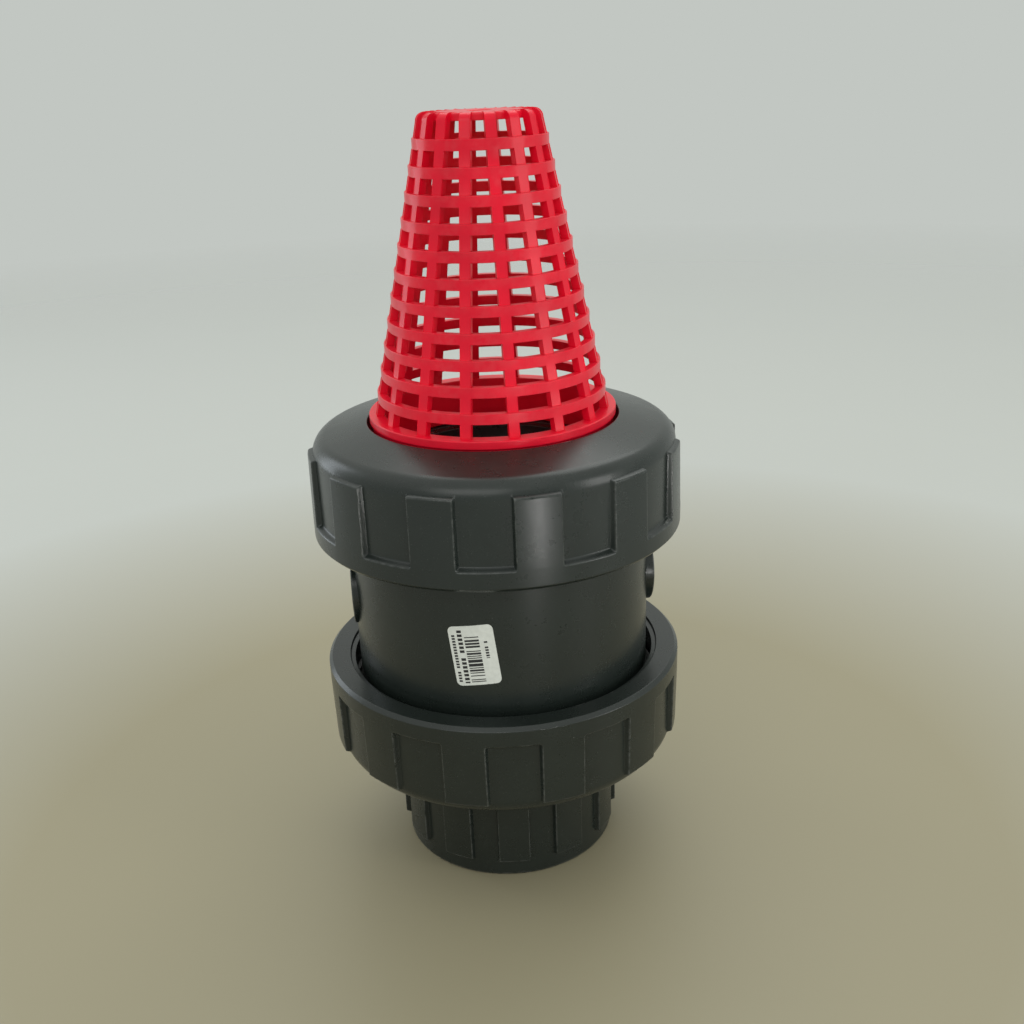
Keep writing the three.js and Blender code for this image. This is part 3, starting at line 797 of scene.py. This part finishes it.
def build_strainer():
    flange_top = STRAINER_BOTTOM + STRAINER_FLANGE
    skirt = revolved(rounded([
        (50.0, STRAINER_BOTTOM, 0.4),
        (FLANGE_R, STRAINER_BOTTOM, 0.4),
        (FLANGE_R, flange_top, 0.4),
        (57.5, flange_top, 0.4),
        (57.5, BRIM_TOP - 3.8, 0.2),
        (BRIM_R, BRIM_TOP - 3.8, 0.3),
        (BRIM_R, BRIM_TOP, 0.5),
        (51.4, BRIM_TOP, 0.5),
        (50.0, flange_top, 0.6),
    ]), sides=224)
    underside = STRAINER_TOP - TOP_DISC_THICKNESS
    disc = revolved(rounded([
        (0.0, underside, 0),
        (TOP_DISC_R, underside, 0.4),
        (TOP_DISC_R, STRAINER_TOP, 0.9),
        (6.0, STRAINER_TOP, 0.2),
        (5.6, STRAINER_TOP - 0.4, 0.2),
        (0.0, STRAINER_TOP - 0.4, 0),
    ], closed=False), sides=128, closed=False)
    obj = piece(
        "strainer_detail", [lattice_shell(), skirt, disc], RED,
        "strainer_basket", bevel=0.28)
    return obj


# ---------- label ----------

def build_label():
    """The paper, bent round the body: rows across, each as wide as the rounded corners leave."""
    rows, columns, corner, thick = 40, 16, 2.5, 0.14
    mesh_verts, uvs = [], []
    tilt = math.radians(LABEL_TILT)
    front = math.radians(LABEL_AZIMUTH - 90)
    for layer in (0.0, thick):
        for i in range(rows + 1):
            t = -math.cos(math.pi * i / rows)
            y = t * LABEL_LENGTH / 2
            over = max(0.0, abs(y) - (LABEL_LENGTH / 2 - corner))
            half = LABEL_WIDTH / 2 - corner + math.sqrt(max(corner ** 2 - over ** 2, 0.0))
            for j in range(columns + 1):
                x = half * (2 * j / columns - 1)
                around = x * math.cos(tilt) - y * math.sin(tilt)
                along = x * math.sin(tilt) + y * math.cos(tilt)
                r = BODY_R + 0.04 + layer
                a = front + around / BODY_R
                mesh_verts.append((r * math.cos(a), r * math.sin(a), LABEL_Z + along))
                uvs.append((x / LABEL_WIDTH + 0.5, y / LABEL_LENGTH + 0.5))
    wide = columns + 1
    layer_size = wide * (rows + 1)
    faces = []
    for i in range(rows):
        for j in range(columns):
            a, b = i * wide + j, i * wide + j + 1
            c, d = b + wide, a + wide
            faces.append((a, d, c, b))
            faces.append((a + layer_size, b + layer_size, c + layer_size, d + layer_size))
    border = [j for j in range(columns)] + [i * wide + columns for i in range(rows)]
    border += [rows * wide + j for j in range(columns, 0, -1)] + [i * wide for i in range(rows, 0, -1)]
    for a, b in zip(border, border[1:] + border[:1]):
        faces.append((a, b, b + layer_size, a + layer_size))
    obj = piece("label_detail", [outward(mesh_verts, faces)], PAPER, "barcode_label")
    layer = obj.data.uv_layers.new(name="paper")
    for loop in obj.data.loops:
        layer.data[loop.index].uv = uvs[loop.vertex_index]


# ---------- closing parts, guide and seals ----------

def ring_shell(node, wire=1.3, sides=160):
    lo, hi = low(node), high(node)
    mean = hi.x - wire
    z = (lo.z + hi.z) / 2
    section = [
        (mean + wire * math.cos(a), z + wire * math.sin(a))
        for a in np.linspace(0, 2 * math.pi, 16, endpoint=False)
    ]
    return revolved(section, sides=sides)


def build_seals():
    piece("body_o_ring_detail", [ring_shell("body_o_ring")], RUBBER, "body_o_ring")
    piece(
        "connector_o_ring_detail", [ring_shell("connector_o_ring")], RUBBER,
        "connector_o_ring")
    piece("stem_o_ring_detail", [ring_shell("stem_o_ring", 1.05, 64)], RUBBER, "stem_o_ring")
    lo, hi = low("poppet_seal"), high("poppet_seal")
    outline = rounded([(4.3, lo.z, 0.2), (hi.x, lo.z, 0.7), (hi.x, hi.z, 0.7), (4.3, hi.z, 0.2)])
    piece("poppet_seal_detail", [revolved(outline, sides=160)], RUBBER, "poppet_seal")


def build_poppet():
    lo, hi = low("poppet"), high("poppet")
    bottom, top, rim = lo.z, hi.z, hi.x
    outline = rounded([
        (4.3, bottom, 0.3),
        (11.0, bottom, 0.8),
        (11.0, bottom + 8, 0.4),
        (18.0, bottom + 8, 0.5),
        (22.0, top - 7.0, 2.0),
        (rim - 4, top - 4.2, 2.0),
        (rim, top - 4.2, 0.6),
        (rim, top, 0.6),
        (7.0, top, 0.3),
        (7.0, top - 3, 0.2),
        (4.3, top - 3, 0.2),
    ])
    webs = [block((26, 2.4, 4), (35, 0, top - 4.5), 60 * i) for i in range(6)]
    piece("poppet_detail", [revolved(outline, sides=160), *webs], GREY, "poppet", bevel=0.2)


def build_stem():
    lo, hi = low("poppet_stem"), high("poppet_stem")
    shoulder = low("poppet").z - 0.3
    outline = rounded([
        (0, lo.z, 0), (3.9, lo.z, 0.2), (4.6, lo.z + 1, 0.2),
        (4.6, BODY_LEDGE_Z, 0.2), (5.0, BODY_LEDGE_Z + 0.5, 0.2),
        (5.0, shoulder, 0.3), (3.7, shoulder, 0.2), (3.7, hi.z - 0.8, 0.2), (3.1, hi.z, 0.2), (0, hi.z, 0),
    ], closed=False)
    shells = [
        revolved(outline, sides=72, closed=False),
        thread(4.6, 5.0, lo.z + 1.2, BODY_LEDGE_Z - 0.5, 1.5, 1.2, 0.2, steps=36),
        thread(3.7, 4.0, high("poppet").z + 5, hi.z - 1.2, 1.25, 1.0, 0.2, steps=36),
    ]
    piece("poppet_stem_detail", shells, STEEL, "poppet_stem")


def flat_ring(node, bore, fillet=0.25):
    lo, hi = low(node), high(node)
    outline = rounded([
        (bore, lo.z, fillet), (hi.x, lo.z, fillet), (hi.x, hi.z, fillet), (bore, hi.z, fillet),
    ])
    return revolved(outline, sides=96)


def hex_shells(node, bore, pitch):
    """A chamfered hexagon nut: one shell from the bore's wall to the flats, and its thread."""
    lo, hi = low(node), high(node)
    flats = (hi.x - lo.x) / 2
    height = hi.z - lo.z
    outline = rounded([
        (bore + 0.7, 0.0, 0), (flats * 0.97, 0.0, 0), (flats * 1.17, flats * 0.11, 0),
        (flats * 1.17, height - flats * 0.11, 0), (flats * 0.97, height, 0), (bore + 0.7, height, 0),
        (bore, height - 0.6, 0), (bore, 0.6, 0),
    ])

    def shape(r, z, theta):
        off = (theta + math.pi / 6) % (math.pi / 3) - math.pi / 6
        return np.minimum(r, np.where(r > bore + 1, flats / np.cos(off), r)), z

    wall = revolved(densified(outline, 0.6, lambda r, z: r > flats * 0.9), sides=144, shape=shape)
    ridge = thread(bore + 0.2, bore, 0.7, height - 0.7, pitch, 1.0, 0.2, steps=36)
    return [moved(s, Matrix.Translation((0, 0, lo.z))) for s in (wall, ridge)]


def build_fasteners():
    lo, hi = low("seal_retainer"), high("seal_retainer")
    outline = rounded([(4.3, lo.z, 0.2), (hi.x, lo.z, 0.3), (hi.x, lo.z + 1.4, 0.5), (hi.x - 3, hi.z, 1.0),
                       (14.0, hi.z, 0.6), (13.0, hi.z - 0.5, 0.6), (4.3, hi.z - 0.5, 0.2)])
    piece("seal_retainer_detail", [revolved(outline, sides=160)], STEEL, "seal_retainer")
    piece(
        "retainer_washer_detail", [flat_ring("retainer_washer", 4.3)], STEEL,
        "retainer_washer")
    piece("stem_washer_detail", [flat_ring("stem_washer", 5.3)], STEEL, "stem_washer")
    piece("retainer_nut_detail", hex_shells("retainer_nut", 4.15, 1.25), STEEL, "retainer_nut")
    piece("stem_lock_nut_detail", hex_shells("stem_lock_nut", 5.15, 1.5), STEEL, "stem_lock_nut")


def build_guide():
    lo, hi = low("guide_spider"), high("guide_spider")
    ring = revolved(rounded([
        (SPIDER_INNER_R, lo.z, 0.6), (SPIDER_OUTER_R, lo.z, 0.6),
        (SPIDER_OUTER_R, lo.z + SPIDER_THICKNESS, 0.8), (SPIDER_INNER_R, lo.z + SPIDER_THICKNESS, 0.8),
    ]), sides=160)
    hub = revolved(rounded([
        (HUB_BORE_R, lo.z, 0.3), (HUB_R, lo.z, 0.8), (HUB_R, lo.z + 8, 0.8),
        (HUB_NECK_R, lo.z + 8, 0.5), (HUB_NECK_R, hi.z, 0.6), (HUB_BORE_R, hi.z, 0.3),
    ]), sides=96)
    arms = [block((47.6, 6, 5.8), (38.2, 0, lo.z + 3), 90 * i + 45) for i in range(4)]
    piece("guide_spider_detail", [ring, hub, *arms], GREY, "guide_spider", bevel=0.6)
    lo, hi = low("guide_bush"), high("guide_bush")
    bush = rounded([
        (BUSH_BORE_R, lo.z, 0.3), (BUSH_R, lo.z, 0.3), (BUSH_R, hi.z - BUSH_FLANGE, 0.1),
        (BUSH_FLANGE_R, hi.z - BUSH_FLANGE, 0.3), (BUSH_FLANGE_R, hi.z, 0.4), (BUSH_BORE_R, hi.z, 0.4),
    ])
    piece("guide_bush_detail", [revolved(bush, sides=96)], NYLON, "guide_bush")


def build_spring():
    """A compression spring with a closed coil at each end, on a mesh of its own."""
    lo, hi = low("closing_spring"), high("closing_spring")
    wire, mean, turns, around = 1.1, 14.0, 9.0, 12
    steps = int(turns * 40)
    bottom, top = lo.z + wire, hi.z - wire
    verts = []
    for k in range(steps + 1):
        t = k / steps
        closed_part = 1.0 / turns
        rise = np.interp(
            t, [0, closed_part, 1 - closed_part, 1],
            [0, 2.3 * wire, top - bottom - 2.3 * wire, top - bottom])
        a = 2 * math.pi * turns * t
        out = np.array([math.cos(a), math.sin(a), 0.0])
        for q in range(around):
            b = 2 * math.pi * q / around
            verts.append(
                out * (mean + wire * math.cos(b))
                + np.array([0, 0, bottom + rise + wire * math.sin(b)]))
    faces = [(k * around + q, k * around + (q + 1) % around,
              (k + 1) * around + (q + 1) % around, (k + 1) * around + q)
             for k in range(steps) for q in range(around)]
    faces.append(tuple(range(around)))
    faces.append(tuple(steps * around + q for q in reversed(range(around))))
    obj = piece(
        "closing_spring_detail", [outward(verts, faces)], STEEL,
        "closing_spring", sharp=60)
    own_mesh(obj)


build_nuts()
build_connector()
build_body()
build_seat()
build_strainer()
build_label()
build_seals()
build_poppet()
build_stem()
build_fasteners()
build_guide()
build_spring()


# ---------- stage, light and camera ----------

def build_floor():
    """A round floor: beige near the object, paler further out, and faded into the surroundings at its rim."""
    bm = bmesh.new()
    bmesh.ops.create_circle(bm, cap_ends=True, segments=96, radius=FLOOR_R)
    mesh = bpy.data.meshes.new("floor")
    bm.to_mesh(mesh)
    bm.free()
    floor = bpy.data.objects.new("floor", mesh)
    floor.location.z = -0.0002
    bpy.context.scene.collection.objects.link(floor)
    n = Nodes("pale_floor")
    length = n.add("ShaderNodeVectorMath", operation="LENGTH")
    n.put(length.inputs[0], n.place)
    reach = length.outputs["Value"]
    grain = n.span(n.noise(3.0, 3.0), -0.04, 0.04)
    away = n.add("ShaderNodeMath", operation="ADD")
    n.put(away.inputs[0], n.span(reach, 0.0, 1.0, 0.26, 0.62))
    n.put(away.inputs[1], grain)
    tint = n.ramp(away.outputs[0], [(0.0, (0.31, 0.278, 0.182)), (1.0, (0.50, 0.515, 0.49))])
    alpha = n.span(reach, 1.0, 0.0, 0.8, 0.97 * FLOOR_R)
    mesh.materials.append(n.surface(Base_Color=tint, Roughness=0.5, Alpha=alpha,
                                    Normal=n.bump(n.noise(220.0), 0.0002, 0.15)))


def area_light(name, place, aim, size, power, colour, spread=180.0):
    data = bpy.data.lights.new(name, "AREA")
    data.shape = "RECTANGLE"
    data.size, data.size_y = size
    data.energy = power
    data.color = colour
    data.spread = math.radians(spread)
    light = bpy.data.objects.new(name, data)
    light.location = place
    light.rotation_euler = (Vector(aim) - Vector(place)).to_track_quat("-Z", "Y").to_euler()
    light.visible_camera = False
    bpy.context.scene.collection.objects.link(light)


def build_world():
    """A pale studio, brighter overhead."""
    world = bpy.data.worlds.new("studio")
    bpy.context.scene.world = world
    world.use_nodes = True
    tree = world.node_tree
    background = tree.nodes["Background"]
    place = tree.nodes.new("ShaderNodeTexCoord")
    split = tree.nodes.new("ShaderNodeSeparateXYZ")
    tree.links.new(place.outputs["Generated"], split.inputs[0])
    ramp = tree.nodes.new("ShaderNodeValToRGB")
    ramp.color_ramp.elements[0].position = 0.25
    ramp.color_ramp.elements[0].color = (0.54, 0.57, 0.54, 1)
    ramp.color_ramp.elements[1].position = 0.9
    ramp.color_ramp.elements[1].color = (0.92, 0.94, 0.90, 1)
    tree.links.new(split.outputs["Z"], ramp.inputs[0])
    tree.links.new(ramp.outputs[0], background.inputs["Color"])
    background.inputs["Strength"].default_value = 1.0


def build_lights():
    area_light("ceiling", (0.25, 1.0, 1.75), (0, 0, 0.15), (1.5, 1.2), 9, (0.97, 1.0, 0.98))
    area_light("left_window", (-1.5, 0.9, 0.6), (0, 0, 0.2), (0.6, 1.2), 5, (0.86, 0.93, 1.0))
    area_light("front_soft", (-0.5, -1.7, 1.3), (0, 0, 0.2), (1.4, 1.0), 6, (1.0, 0.99, 0.97))
    area_light("right_window", (1.4, -0.7, 0.5), (0, 0, 0.2), (0.5, 0.9), 5, (1.0, 1.0, 0.97))
    area_light(
        "low_strip", (0.24, -0.58, 0.05), (0, 0, 0.2), (0.05, 0.05), 0.035,
        (1.0, 0.99, 0.97), spread=60.0)


def build_camera():
    pitch, yaw, roll = (math.radians(a) for a in (CAMERA_PITCH, CAMERA_YAW, CAMERA_ROLL))
    ahead = Vector((math.sin(yaw) * math.cos(pitch), math.cos(yaw) * math.cos(pitch), -math.sin(pitch)))
    right = Vector((math.cos(yaw), -math.sin(yaw), 0))
    up = right.cross(ahead)
    side = right * math.cos(roll) + up * math.sin(roll)
    top = up * math.cos(roll) - right * math.sin(roll)
    data = bpy.data.cameras.new("camera")
    data.sensor_width = 36.0
    data.lens = 36.0 * CAMERA_FOCAL
    data.shift_y = CAMERA_SHIFT
    data.clip_start, data.clip_end = 0.01, 60.0
    camera = bpy.data.objects.new("camera", data)
    matrix = Matrix((side, top, -ahead)).transposed().to_4x4()
    matrix.translation = Vector((0, -CAMERA_BACK, CAMERA_UP)) * MM
    camera.matrix_world = matrix
    bpy.context.scene.collection.objects.link(camera)
    bpy.context.scene.camera = camera


bpy.context.scene.view_settings.view_transform = "Standard"
build_floor()
build_world()
build_lights()
build_camera()

import json
